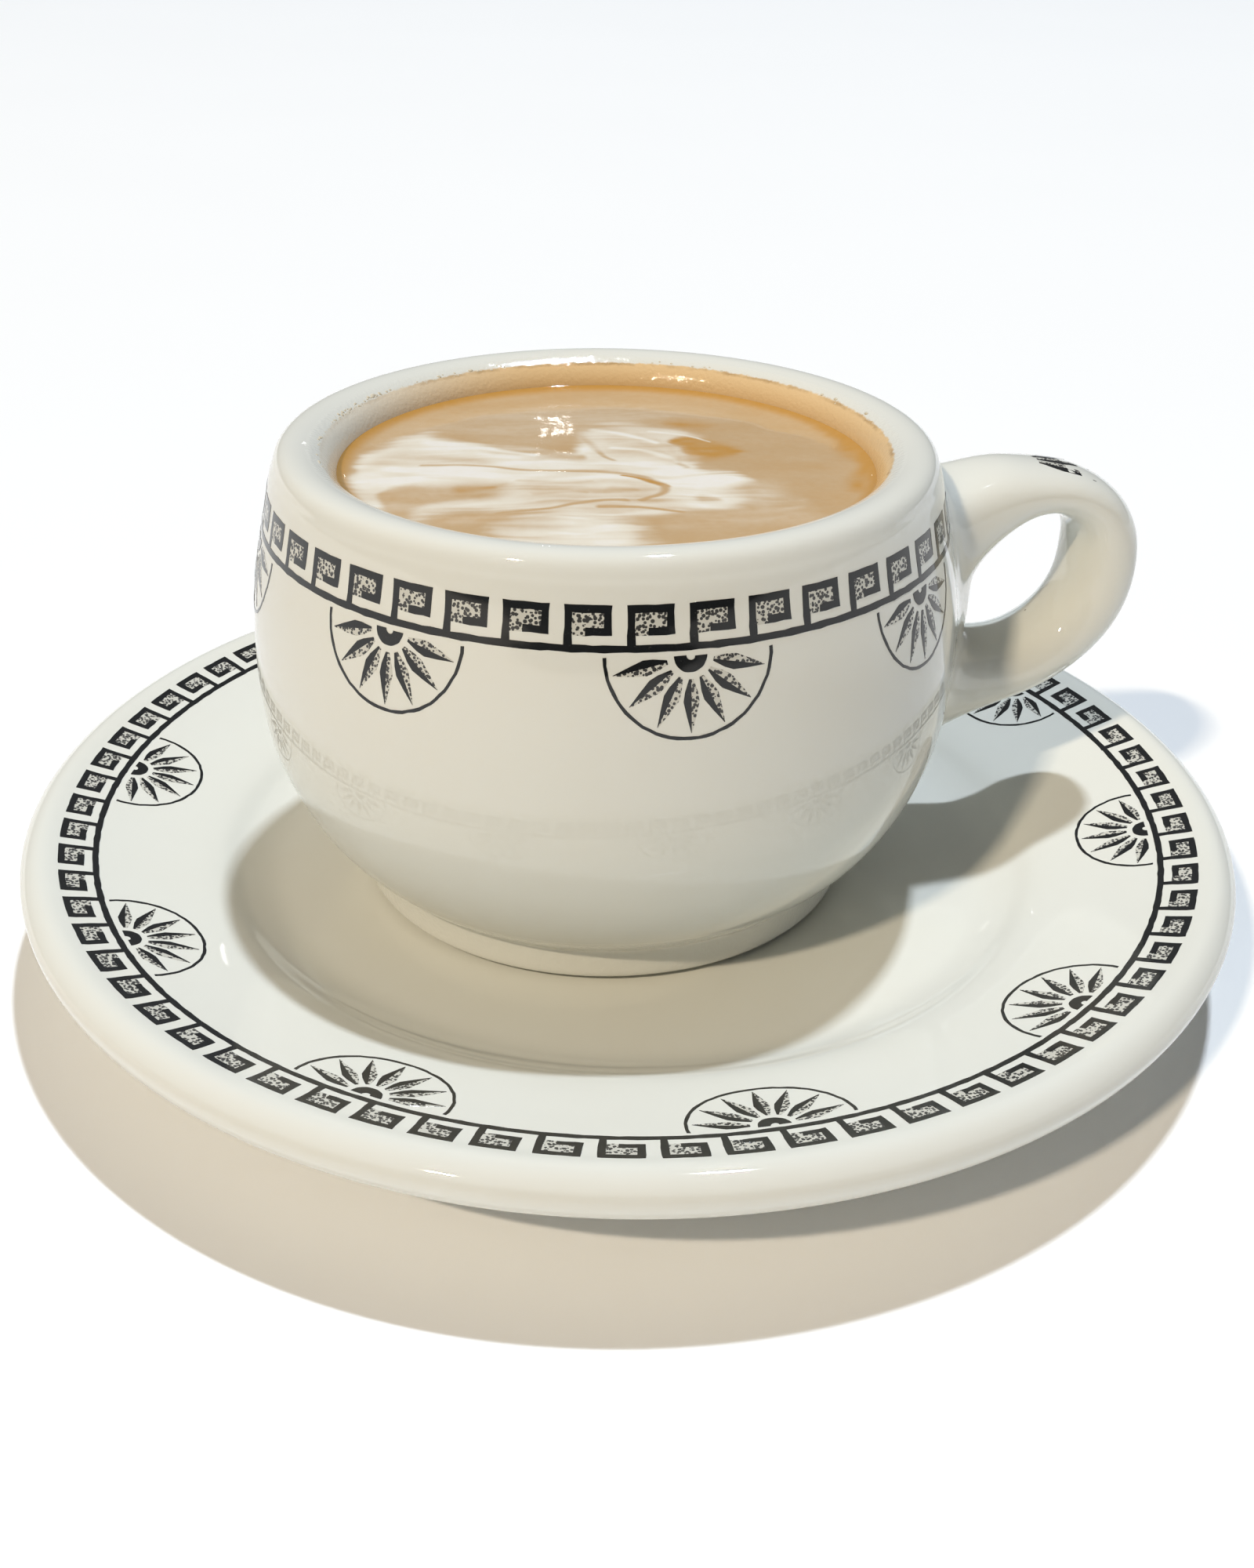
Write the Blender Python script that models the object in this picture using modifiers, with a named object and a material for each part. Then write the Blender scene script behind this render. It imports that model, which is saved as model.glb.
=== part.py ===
"""Cafe au lait in a heavy glazed restaurant cup, standing on its saucer.

Metres, +Z up. The origin is on the table under the middle of the saucer, and the cup's
handle points along +X. Three pieces: the saucer, the cup with its ear handle, and the drink.
"""

import math

import bmesh
import bpy
import numpy as np
from mathutils import Vector

MM = 0.001

# Driving dimensions, in millimetres.
SAUCER_FLOOR_Z = 7.8  # top of the saucer's well above the table
CONTACT_GAP = 0.3  # between pieces that rest on or in each other
CUP_OFFSET_X = -3.3  # the cup stands a little off the saucer's middle
CUP_BASE_Z = SAUCER_FLOOR_Z + CONTACT_GAP
DRINK_LEVEL = 51.7  # above the cup's base, about 4 mm under the lip
DRINK_GAP = CONTACT_GAP + 0.08  # to the smooth wall, because the facets cut inside it
DRINK_TOP_SPAN = 1.0  # height of the drink's last span, up to its level
DRINK_TOP_INSET = 0.15  # of the level's edge from the point below it

SAUCER_STEPS = 60
DRINK_STEPS = 48
TURN_PER_SPAN = 16.0  # degrees that a section may turn between two of its points
CUP_COLUMNS = 32
CUP_LEVELS = 1
MERGE_DISTANCE = 0.01

# Finishes: colours are linear.
SAUCER_GLAZE = (0.79, 0.78, 0.73)
CUP_GLAZE = (0.78, 0.76, 0.69)
GLAZE_ROUGHNESS = 0.12
MILKY_COFFEE = (0.62, 0.42, 0.23)
DRINK_ROUGHNESS = 0.3

# The saucer's section as (radius, height above the well floor): up its face, round its
# thick edge and back along its underside to the middle.
SAUCER_SECTION = [
    (0.0, 0.0),
    (42.0, 0.0),
    (46.0, 0.15),
    (49.5, 1.3),
    (52.4, 2.9),
    (56.0, 4.15),
    (63.0, 6.05),
    (70.5, 8.1),
    (73.6, 8.85),
    (75.6, 7.7),
    (75.98, 6.0),
    (75.1, 4.2),
    (72.0, 3.3),
    (62.0, 0.4),
    (52.0, -3.0),
    (46.6, -5.2),
    (45.7, -7.4),
    (44.9, -7.8),
    (42.7, -7.8),
    (41.9, -7.4),
    (40.6, -6.0),
    (36.0, -5.7),
    (0.0, -5.7),
]

# The cup's section as (radius, height above its base): inner wall up, over the rolled lip,
# down the belly, round the foot ring and in to the middle of the recessed base.
CUP_INSIDE = [
    (0.0, 6.8),
    (13.0, 7.3),
    (24.5, 12.0),
    (31.5, 21.5),
    (34.2, 33.0),
    (33.2, 43.0),
    (31.6, 49.0),
]
CUP_LIP = [
    (31.4, 52.0),
    (32.4, 54.1),
    (34.3, 55.4),
    (36.4, 55.76),
    (38.0, 55.1),
    (38.7, 53.6),
]
CUP_OUTSIDE = [
    (39.2, 52.0),
    (40.3, 47.0),
    (41.4, 42.0),
    (42.1, 36.7),
    (42.35, 31.2),
    (42.2, 26.2),
    (41.5, 21.2),
    (39.6, 15.5),
    (36.8, 10.4),
    (33.7, 6.7),
]
CUP_FOOT = [
    (31.5, 4.7),
    (30.9, 3.7),
    (30.8, 1.9),
    (30.55, 0.45),
    (29.3, 0.0),
    (27.5, 0.2),
    (26.0, 1.7),
    (24.0, 2.4),
    (0.0, 2.5),
]

# The handle grows from a patch of two columns by two rows at each end.
UPPER_ROOT = (36.7, 47.0)
LOWER_ROOT = (15.5, 26.2)
BELLY_RADIUS = 37.0  # the outer wall lies outside this radius
BELLY_LIMIT = 44.0  # and inside this one
MIDDLE_REACH = 1.0  # a root's corner this near the plane of the handle lies on it

# The handle's sections from the upper root to the lower one: (distance from the cup's axis,
# height, direction of the outer side in degrees, half thickness, half width).
HANDLE_SECTIONS = [
    (49.3, 45.7, 107.0, 4.6, 6.7),
    (53.8, 46.3, 91.0, 3.2, 6.2),
    (58.3, 46.0, 68.0, 3.0, 6.0),
    (62.2, 43.9, 42.0, 3.5, 6.0),
    (64.4, 40.5, 16.0, 4.1, 6.1),
    (64.8, 36.7, -1.0, 4.4, 6.2),
    (64.5, 32.6, -13.0, 4.4, 6.2),
    (62.9, 28.9, -25.0, 4.4, 6.2),
    (60.1, 25.8, -38.0, 4.3, 6.2),
    (56.3, 23.4, -54.0, 4.3, 6.4),
    (52.0, 22.1, -69.0, 4.4, 6.9),
]
CORNER_SHARE = 0.75  # how far a section's corners reach, between an oval and a box
RING_SHRINK = (4 + 2 * math.cos(math.radians(45))) / 6  # of eight points, when subdivided

# The web that joins the two roots along the belly: (height, how far it stands out).
WEB_ROWS = [(36.7, 6.4), (31.2, 7.0), (26.2, 5.5)]
WEB_HEIGHT_REACH = 1.5
WEB_SIDE_SHARE = 0.12


def smooth_section(points):
    """Points along a Catmull-Rom curve through the section, more of them where it turns."""
    ends = [2 * np.array(points[0]) - points[1], 2 * np.array(points[-1]) - points[-2]]
    path = np.array([ends[0], *points, ends[1]])
    made = []
    for before, start, end, after in zip(path, path[1:], path[2:], path[3:]):
        leave = (end - before) * np.linalg.norm(end - start) / np.linalg.norm(end - before)
        arrive = (after - start) * np.linalg.norm(end - start) / np.linalg.norm(after - start)
        cosine = leave @ arrive / (np.linalg.norm(leave) * np.linalg.norm(arrive))
        spans = max(1, math.ceil(math.degrees(math.acos(min(1.0, cosine))) / TURN_PER_SPAN))
        for t in np.arange(spans) / spans:
            made.append(
                (2 * t**3 - 3 * t**2 + 1) * start
                + (t**3 - 2 * t**2 + t) * leave
                + (3 * t**2 - 2 * t**3) * end
                + (t**3 - t**2) * arrive
            )
    return [*made, path[-2]]


def subdivision_cage(points, columns):
    """The section of a turned cage whose subdivision surface passes through the points.

    A subdivided row lies at (before + 4 * row + after) / 6, and a ring shrinks likewise.
    """
    count = len(points)
    radius_rows = np.diag(np.full(count, 4.0))
    for i in range(count - 1):
        radius_rows[i, i + 1] = radius_rows[i + 1, i] = 1.0
    height_rows = radius_rows.copy()
    height_rows[0, 1] = height_rows[-1, -2] = 2.0
    radius_rows[0, 1] = radius_rows[-1, -2] = 0.0
    ring = (4 + 2 * math.cos(2 * math.pi / columns)) / 6
    wanted = np.array(points)
    radii = np.linalg.solve(radius_rows / 6, wanted[:, 0]) / ring
    heights = np.linalg.solve(height_rows / 6, wanted[:, 1])
    return list(zip(radii, heights))


def finish_object(name, mesh, collection, colour, roughness):
    """Links the mesh as a named object with smooth shading and its own material."""
    material = bpy.data.materials.new(name + "_finish")
    material.use_nodes = True
    shader = material.node_tree.nodes["Principled BSDF"]
    shader.inputs["Base Color"].default_value = (*colour, 1.0)
    shader.inputs["Roughness"].default_value = roughness
    shader.inputs["Metallic"].default_value = 0.0
    mesh.materials.append(material)
    obj = bpy.data.objects.new(name, mesh)
    collection.objects.link(obj)
    return obj


def turned_object(name, section, steps, collection, finish):
    """A solid of revolution: the section as a line of edges with a Screw modifier.

    The finish is a colour and a roughness.
    """
    mesh = bpy.data.meshes.new(name)
    points = [(radius * MM, 0.0, height * MM) for radius, height in section]
    mesh.from_pydata(points, [(i, i + 1) for i in range(len(points) - 1)], [])
    obj = finish_object(name, mesh, collection, *finish)
    screw = obj.modifiers.new("Turn", "SCREW")
    screw.axis = "Z"
    screw.steps = steps
    screw.render_steps = steps
    screw.use_merge_vertices = True
    screw.merge_threshold = MERGE_DISTANCE * MM
    screw.use_smooth_shade = True
    return obj


def build_saucer(collection):
    section = smooth_section(SAUCER_SECTION)
    finish = (SAUCER_GLAZE, GLAZE_ROUGHNESS)
    obj = turned_object("saucer", section, SAUCER_STEPS, collection, finish)
    obj.location = (0.0, 0.0, SAUCER_FLOOR_Z * MM)
    return obj


def drink_section():
    """Flat on top, then down the inner wall at the contact gap, to the middle of the bottom."""
    inside = smooth_section([*CUP_INSIDE, CUP_LIP[0]])
    wall = []
    for before, here, after in zip(inside, inside[1:], inside[2:]):
        along = (after - before) / np.linalg.norm(after - before)
        inward = np.array([-along[1], along[0]])
        shrunk = here + inward * DRINK_GAP
        if shrunk[1] < DRINK_LEVEL - DRINK_TOP_SPAN:
            wall.append(shrunk)
    top_radius = wall[-1][0] - DRINK_TOP_INSET
    bottom = (0.0, CUP_INSIDE[0][1] + DRINK_GAP)
    return [(0.0, DRINK_LEVEL), (top_radius, DRINK_LEVEL), *reversed(wall), bottom]


def build_drink(collection):
    finish = (MILKY_COFFEE, DRINK_ROUGHNESS)
    obj = turned_object("cafe_au_lait", drink_section(), DRINK_STEPS, collection, finish)
    obj.location = (CUP_OFFSET_X * MM, 0.0, CUP_BASE_Z * MM)
    return obj


def root_faces(cage, heights):
    """The four faces of the belly's cage at the handle, between two heights."""
    low, high = (h * MM for h in heights)
    half_width = math.radians(360 / CUP_COLUMNS)
    found = []
    for face in cage.faces:
        middle = face.calc_center_median()
        radius = math.hypot(middle.x, middle.y)
        aside = abs(math.atan2(middle.y, middle.x))
        if low < middle.z < high and aside < half_width and radius > BELLY_RADIUS * MM:
            found.append(face)
    return found


def number_root(cage, faces):
    """Marks each corner of a root patch with its side (-1, 0, 1) and its level (-1, 0, 1)."""
    side, level = cage.verts.layers.int["side"], cage.verts.layers.int["level"]
    corners = {v for face in faces for v in face.verts}
    heights = sorted({round(v.co.z, 6) for v in corners})
    for v in corners:
        v[side] = 0 if abs(v.co.y) < MIDDLE_REACH * MM else int(math.copysign(1, v.co.y))
        v[level] = heights.index(round(v.co.z, 6)) - 1


def grow_handle(cage):
    """Extrudes the upper root through the handle's sections and bridges it to the lower root."""
    side = cage.verts.layers.int.new("side")
    level = cage.verts.layers.int.new("level")
    tip, landing = root_faces(cage, UPPER_ROOT), root_faces(cage, LOWER_ROOT)
    number_root(cage, tip)
    for distance, height, outward, thickness, width in HANDLE_SECTIONS:
        grown = bmesh.ops.extrude_face_region(cage, geom=tip)["geom"]
        bmesh.ops.delete(cage, geom=tip, context="FACES")
        tip = [g for g in grown if isinstance(g, bmesh.types.BMFace)]
        out = math.radians(outward)
        for v in {v for face in tip for v in face.verts}:
            share = CORNER_SHARE if v[side] and v[level] else 1.0
            reach = share * thickness / RING_SHRINK * v[level]
            v.co = MM * Vector(
                (
                    distance + reach * math.cos(out),
                    share * width / RING_SHRINK * v[side],
                    height + reach * math.sin(out),
                )
            )
    rims = []
    for faces in (tip, landing):
        edges = [e for face in faces for e in face.edges]
        rims.extend(e for e in edges if edges.count(e) == 1)
    bmesh.ops.delete(cage, geom=tip + landing, context="FACES")
    bmesh.ops.bridge_loops(cage, edges=[e for e in rims if e.is_valid])


def raise_web(cage):
    """Draws the belly out between the roots, so that the handle's gap has a rounded back."""
    column = math.radians(360 / CUP_COLUMNS)
    for v in cage.verts:
        radius = math.hypot(v.co.x, v.co.y)
        aside = abs(math.atan2(v.co.y, v.co.x))
        if not BELLY_RADIUS * MM <= radius < BELLY_LIMIT * MM or aside > 1.5 * column:
            continue
        for height, stand in WEB_ROWS:
            if abs(v.co.z - height * MM) < WEB_HEIGHT_REACH * MM:
                share = 1.0 if aside < 0.5 * column else WEB_SIDE_SHARE
                v.co.x += stand * share * MM


def build_cup(collection):
    """The turned body and the handle as one cage under a Subdivision Surface modifier."""
    section = subdivision_cage(CUP_INSIDE + CUP_LIP + CUP_OUTSIDE + CUP_FOOT, CUP_COLUMNS)
    cage = bmesh.new()
    line = [cage.verts.new((radius * MM, 0.0, height * MM)) for radius, height in section]
    edges = [cage.edges.new(pair) for pair in zip(line, line[1:])]
    bmesh.ops.spin(
        cage,
        geom=line + edges,
        cent=(0, 0, 0),
        axis=(0, 0, 1),
        angle=2 * math.pi,
        steps=CUP_COLUMNS,
        use_merge=True,
    )
    bmesh.ops.remove_doubles(cage, verts=cage.verts, dist=MERGE_DISTANCE * MM)
    raise_web(cage)
    grow_handle(cage)
    bmesh.ops.recalc_face_normals(cage, faces=cage.faces)
    for face in cage.faces:
        face.smooth = True
    mesh = bpy.data.meshes.new("cup")
    cage.to_mesh(mesh)
    cage.free()
    obj = finish_object("cup", mesh, collection, CUP_GLAZE, GLAZE_ROUGHNESS)
    obj.location = (CUP_OFFSET_X * MM, 0.0, CUP_BASE_Z * MM)
    surface = obj.modifiers.new("Surface", "SUBSURF")
    surface.levels = CUP_LEVELS
    surface.render_levels = CUP_LEVELS
    return obj


def main():
    for old in list(bpy.data.objects):
        bpy.data.objects.remove(old)
    collection = bpy.data.collections.new("cafe_au_lait")
    bpy.context.scene.collection.children.link(collection)
    build_saucer(collection)
    build_cup(collection)
    build_drink(collection)


main()
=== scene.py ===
"""Looks of the cafe au lait: a glazed cup and saucer with a black border of keys and fans.

Lengths are in millimetres until a mesh is made, where MM turns them into metres. The cup's
own axes start at the middle of its foot, and the handle points along +X.
"""

import math

import bmesh
import bpy
import numpy as np
from mathutils import Matrix, Vector
from mathutils.bvhtree import BVHTree


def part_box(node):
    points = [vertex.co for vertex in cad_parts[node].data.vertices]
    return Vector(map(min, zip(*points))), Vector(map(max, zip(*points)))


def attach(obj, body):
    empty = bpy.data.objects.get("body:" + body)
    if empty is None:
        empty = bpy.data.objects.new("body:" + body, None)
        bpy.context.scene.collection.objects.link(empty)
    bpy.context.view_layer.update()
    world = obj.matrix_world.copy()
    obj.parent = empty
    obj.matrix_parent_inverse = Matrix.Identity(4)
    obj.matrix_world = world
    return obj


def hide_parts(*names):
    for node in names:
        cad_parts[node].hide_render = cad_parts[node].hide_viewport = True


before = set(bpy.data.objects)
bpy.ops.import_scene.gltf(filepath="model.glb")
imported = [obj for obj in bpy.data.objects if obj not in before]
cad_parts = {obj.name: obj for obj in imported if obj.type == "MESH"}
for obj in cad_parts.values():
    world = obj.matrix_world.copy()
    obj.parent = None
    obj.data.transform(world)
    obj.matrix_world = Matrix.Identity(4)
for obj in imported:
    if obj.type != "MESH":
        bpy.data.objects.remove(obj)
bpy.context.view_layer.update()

MM = 0.001
BODY = "root"

# Places from the frame. The drink is round, so the middle of its box is the cup's axis.
DRINK_LOW, DRINK_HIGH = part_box("cafe_au_lait")
DRINK_LEVEL = 51.7  # above the cup's base
CONTACT_GAP = 0.3
CUP_AXIS_X = (DRINK_LOW.x + DRINK_HIGH.x) / 2 / MM
CUP_BASE_Z = DRINK_HIGH.z / MM - DRINK_LEVEL
SAUCER_FLOOR_Z = CUP_BASE_Z - CONTACT_GAP
CUP_PLACE = (CUP_AXIS_X, 0.0, CUP_BASE_Z)
SAUCER_PLACE = (0.0, 0.0, SAUCER_FLOOR_Z)

# The saucer's section as (radius, height above the well floor), round its edge to the foot.
SAUCER_SECTION = [
    (0.0, 0.0), (42.0, 0.0), (46.0, 0.15), (49.5, 1.3), (52.4, 2.9), (56.0, 4.15),
    (63.0, 6.05), (70.5, 8.1), (73.6, 8.85), (75.6, 7.7), (75.98, 6.0), (75.1, 4.2),
    (72.0, 3.3), (62.0, 0.4), (52.0, -3.0), (46.6, -5.2), (45.7, -7.4), (44.9, -7.8),
    (42.7, -7.8), (41.9, -7.4), (40.6, -6.0), (36.0, -5.7), (0.0, -5.7),
]
SAUCER_STEPS = 320
SAUCER_SPANS = 10
SAUCER_RADIUS = 76.0
SAUCER_FACE_END = 8  # the section's point on the crest of the rim

# The cup's section as (radius, height above its base): inside, lip, belly and foot.
CUP_INSIDE = [
    (0.0, 6.8), (13.0, 7.3), (24.5, 12.0), (31.5, 21.5), (34.2, 33.0), (33.2, 43.0),
    (31.6, 49.0),
]
CUP_LIP = [
    (31.4, 52.0), (32.4, 54.1), (34.3, 55.4), (36.4, 55.76), (38.0, 55.1), (38.7, 53.6),
]
CUP_OUTSIDE = [
    (39.2, 52.0), (40.3, 47.0), (41.4, 42.0), (42.1, 36.7), (42.35, 31.2), (42.2, 26.2),
    (41.5, 21.2), (39.6, 15.5), (36.8, 10.4), (33.7, 6.7),
]
CUP_FOOT = [
    (31.5, 4.7), (30.9, 3.7), (30.8, 1.9), (30.55, 0.45), (29.3, 0.0), (27.5, 0.2),
    (26.0, 1.7), (24.0, 2.4), (0.0, 2.5),
]
CUP_COLUMNS = 32
CUP_LEVELS = 3

# The handle grows from a patch of two columns by two rows at each end.
UPPER_ROOT = (36.7, 47.0)
LOWER_ROOT = (15.5, 26.2)
BELLY_RADIUS = 37.0  # the outer wall lies outside this radius
BELLY_LIMIT = 44.0  # and inside this one
MIDDLE_REACH = 1.0  # a root's corner this near the plane of the handle lies on it

# The handle's sections from the upper root to the lower one: (distance from the cup's axis,
# height, direction of the outer side in degrees, half thickness, half width).
HANDLE_SECTIONS = [
    (49.3, 45.7, 107.0, 4.6, 6.7),
    (53.8, 46.3, 91.0, 3.2, 6.2),
    (58.3, 46.0, 68.0, 3.0, 6.0),
    (62.2, 43.9, 42.0, 3.5, 6.0),
    (64.4, 40.5, 16.0, 4.1, 6.1),
    (64.8, 36.7, -1.0, 4.4, 6.2),
    (64.5, 32.6, -13.0, 4.4, 6.2),
    (62.9, 28.9, -25.0, 4.4, 6.2),
    (60.1, 25.8, -38.0, 4.3, 6.2),
    (56.3, 23.4, -54.0, 4.3, 6.4),
    (52.0, 22.1, -69.0, 4.4, 6.9),
]
CORNER_SHARE = 0.75  # how far a section's corners reach, between an oval and a box
RING_SHRINK = (4 + 2 * math.cos(math.radians(45))) / 6  # of eight points, when subdivided

# The web that joins the two roots along the belly: (height, how far it stands out).
WEB_ROWS = [(36.7, 6.4), (31.2, 7.0), (26.2, 5.5)]
WEB_HEIGHT_REACH = 1.5
WEB_SIDE_SHARE = 0.12

# The printed border. A key is drawn on cells, # for black and o for stipple; the top row
# comes first here, the left column and the bottom row in the sizes.
KEY_ROWS = [
    "#####.",
    "#ooo#.",
    "#o###.",
    "#.....",
    "######",
]
KEY_WIDTHS = [0.8, 1.25, 0.8, 1.05, 0.8, 1.5]
KEY_HEIGHTS = [0.75, 0.95, 0.8, 1.5, 0.8]
PRINT_LIFT = 0.032  # of the black above the glaze
STIPPLE_LIFT = 0.022
PRINT_DEPTH = 0.05  # how far the print reaches into the glaze
WOBBLE = 0.03  # size of each wave that makes the printed edges uneven
WOBBLE_WAVES_U = [(2.1, 1.3), (-3.1, 4.7)]
WOBBLE_WAVES_V = [(1.7, -2.3), (3.9, 2.9)]

CUP_BAND_TOP = 51.2  # height on the cup
CUP_BAND_ROWS = 7  # of the cup's section, which reach past the border
CUP_BAND_KEYS = 40
CUP_FANS = 8
CUP_FAN_RADIUS = 9.0
CUP_BAND_BREAK = 17.0  # degrees left bare on each side of the handle

SAUCER_BAND_TOP = 71.6  # radius on the saucer's face
SAUCER_BAND_KEYS = 72
SAUCER_FANS = 10
SAUCER_FAN_RADIUS = 9.0

# A fan is a half sun: a core, rays of a black and a stippled half, and an arc. All sizes are
# shares of its radius, and a ray's rows are (distance from the middle, half width).
FAN_CORE = (0.05, 0.19)
FAN_RAYS = 7
FAN_RAY_ROWS = [(0.27, 0.025), (0.42, 0.075), (0.53, 0.092), (0.7, 0.055), (0.9, 0.004)]
FAN_ARC = (0.945, 0.985)
FAN_ARC_STEPS = 36
FAN_GAP = 0.55  # from the band to the fan's straight side

# On the handle three rays lie side by side, from so far from the cup's axis.
HANDLE_RAY_START = 51.5
HANDLE_RAY_LENGTH = 11.5
HANDLE_RAY_TURNS = (70.0, 90.0, 110.0)
HANDLE_PRINT_TOP = 60.0  # height from which they are dropped onto the handle

# The drink's surface.
DRINK_STEPS = 512
DRINK_RINGS = 150
DRINK_SPANS = 6  # between two points of the cup's section
DRINK_TOP_DEPTH = 0.2  # what lies higher than this below the level is the top
DRINK_SIDE_DROP = 1.0  # from the level to where the sides start
DRINK_SIDE_END = 2.0  # the distance from the axis to which they reach
MENISCUS_RISE = 0.75
MENISCUS_WIDTH = 0.9
WALL_REACH = 0.25  # how far the drink reaches into the cup's wall
RELIEF = 0.012  # how far foam stands above coffee
RELIEF_MIDDLE = 0.45  # the foam share that stays level
RELIEF_EDGE = (0.3, 2.5)  # distances from the edge between which the relief fades in
RIPPLE = 0.02
RIPPLE_CELLS = ((6, 4), (0, 0))

# Camera, from the outlines of the saucer and the cup in the photo.
CAMERA_PLACE = (-44.65, -193.62, 128.0)
CAMERA_TURN = 12.9  # degrees to the right of +Y
CAMERA_DIP = 29.24
CAMERA_ROLL = 0.9
CAMERA_LENS = 40.245
CAMERA_NEAR = 0.01
SENSOR_WIDTH = 36.0

# Colours, linear.
GLAZE_WARM = (0.775, 0.765, 0.695, 1.0)
GLAZE_COOL = (0.785, 0.795, 0.745, 1.0)
SPECK = (0.16, 0.13, 0.1, 1.0)
INK = (0.010, 0.011, 0.012, 1.0)
THIN_INK = (0.12, 0.12, 0.11, 1.0)
STIPPLE_GROUND = (0.62, 0.61, 0.55, 1.0)
STIPPLE_DOT = (0.05, 0.05, 0.05, 1.0)
DRY_LINE = (0.36, 0.22, 0.09, 1.0)
FILM = (0.80, 0.54, 0.25, 1.0)
COFFEE = (0.54, 0.375, 0.205, 1.0)
CREMA = (0.52, 0.265, 0.05, 1.0)
FOAM = (0.83, 0.78, 0.67, 1.0)
MILK = (0.86, 0.83, 0.80, 1.0)
RESIDUE_DARK = (0.5, 0.42, 0.28, 1.0)
RESIDUE_PALE = (0.84, 0.79, 0.66, 1.0)
FLOOR_GREY = (0.95, 0.95, 0.95, 1.0)
FLOOR_WHITE = (0.97, 0.97, 0.97, 1.0)

# Materials. Scales of noise are in cells for each metre, heights and radii in metres, and
# a pair gives the values between which something fades.
GLAZE_ROUGHNESS = 0.035
GLAZE_IOR = 1.52
GLAZE_WAVE = 0.00005  # height of the glaze's unevenness
GLAZE_WAVE_SCALE = 105.0
GLAZE_RIPPLE_SCALE = 620.0
GLAZE_RIPPLE = 0.04  # of the wave's height
GLAZE_CLOUD_SCALE = 38.0
SPECK_SCALE = 230.0
SPECK_EDGE = (0.02, 0.05)
SPECK_CELLS = (0.93, 0.95)  # the share of cells without a speck
SPECK_STRENGTH = 0.7

INNER_EDGE = (0.0342, 0.0348)  # radius at which the inner side ends
RAGGED_SCALE = 1400.0
RAGGED_HEIGHT = 0.0004
FILM_TOP = (0.0547, 0.0549)
FILM_BOTTOM = (0.045, 0.046)
LINE_BOTTOM = (0.0544, 0.0547)
LINE_SCALE = 300.0
LINE_PATCHES = (0.35, 0.6)
LINE_STRENGTH = 0.7
FILM_SIDE = (27.3, 11.7, 0.0)  # towards the side where the film is thick
FILM_SIDES = (-0.8, 0.35)
FILM_SHARES = (0.16, 0.88)
DROP_SCALE = 2000.0
DROP_HEIGHT = 1.3  # in heights of the glaze's wave

THIN_INK_SCALE = 2600.0
THIN_INK_CELLS = (0.62, 0.8)
THIN_INK_STRENGTH = 0.25
STIPPLE_SCALE = 2700.0
STIPPLE_SIZES = (0.4, 0.6)

DRINK_ROUGHNESS = 0.03
DRINK_IOR = 1.34
DRINK_SPECULAR = 0.3
GRAIN_SCALE = 900.0
GRAIN_STRENGTH = 0.16
MOTTLE_SCALE = 1500.0
MOTTLE_STRENGTH = 0.22
FOAM_RANGE = (-0.1, 1.05)
MILK_RANGE = (0.8, 1.15)
BUBBLE_SCALE = 1500.0
BUBBLE_HEIGHT = 0.000003

RESIDUE_ROUGHNESS = 0.35
RESIDUE_IOR = 1.4
RESIDUE_SCALE = 1500.0
RESIDUE_BUMP = 0.00005

FLOOR_ROUGHNESS = 0.7
FLOOR_IOR = 1.5
FLOOR_SCALE = 6.0
FLOOR_HALF_WIDTH = 8.0

# Lights as (azimuth and elevation from the cup in degrees, distance, size, watts, colour).
KEY_LIGHTS = {
    "top_back": (51, 74, 8.0, (0.42, 0.2), 455.0, (0.80, 0.89, 1.0)),
    "front_left": (-138, 44, 8.0, (0.5, 0.16), 345.0, (1.0, 0.85, 0.645)),
}
BACK_LAMPS = [79.7, 80.05, 80.3, 80.7]  # azimuths of small lamps that glint on the drink
BACK_LAMP = (18.6, 1.3, (0.003, 0.002), 0.001, (1.0, 1.0, 1.0))
LIGHT_AIM = Vector((0.0, 0.0, 0.03))

# The room's light fades from bright to dim towards one side. The camera sees it pale.
ROOM_BRIGHT = (0.21, 0.215, 0.215, 1.0)
ROOM_DIM = (0.06, 0.063, 0.065, 1.0)
ROOM_SEEN = (0.93, 0.94, 0.95, 1.0)
ROOM_DIM_SIDE = (0.8, -0.6, 0.0)
ROOM_SIDES = (-0.7, 0.8)


def subdivision_cage(points, columns):
    """The section of a turned cage whose subdivision surface passes through the points.

    A subdivided row lies at (before + 4 * row + after) / 6, and a ring shrinks likewise.
    """
    count = len(points)
    radius_rows = np.diag(np.full(count, 4.0))
    for i in range(count - 1):
        radius_rows[i, i + 1] = radius_rows[i + 1, i] = 1.0
    height_rows = radius_rows.copy()
    height_rows[0, 1] = height_rows[-1, -2] = 2.0
    radius_rows[0, 1] = radius_rows[-1, -2] = 0.0
    wanted = np.array(points)
    radii = np.linalg.solve(radius_rows / 6, wanted[:, 0]) / ring_share(columns)
    heights = np.linalg.solve(height_rows / 6, wanted[:, 1])
    return list(zip(radii, heights))


def ring_share(columns):
    """How much a ring of that many points shrinks under subdivision."""
    return (4 + 2 * math.cos(2 * math.pi / columns)) / 6


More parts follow.
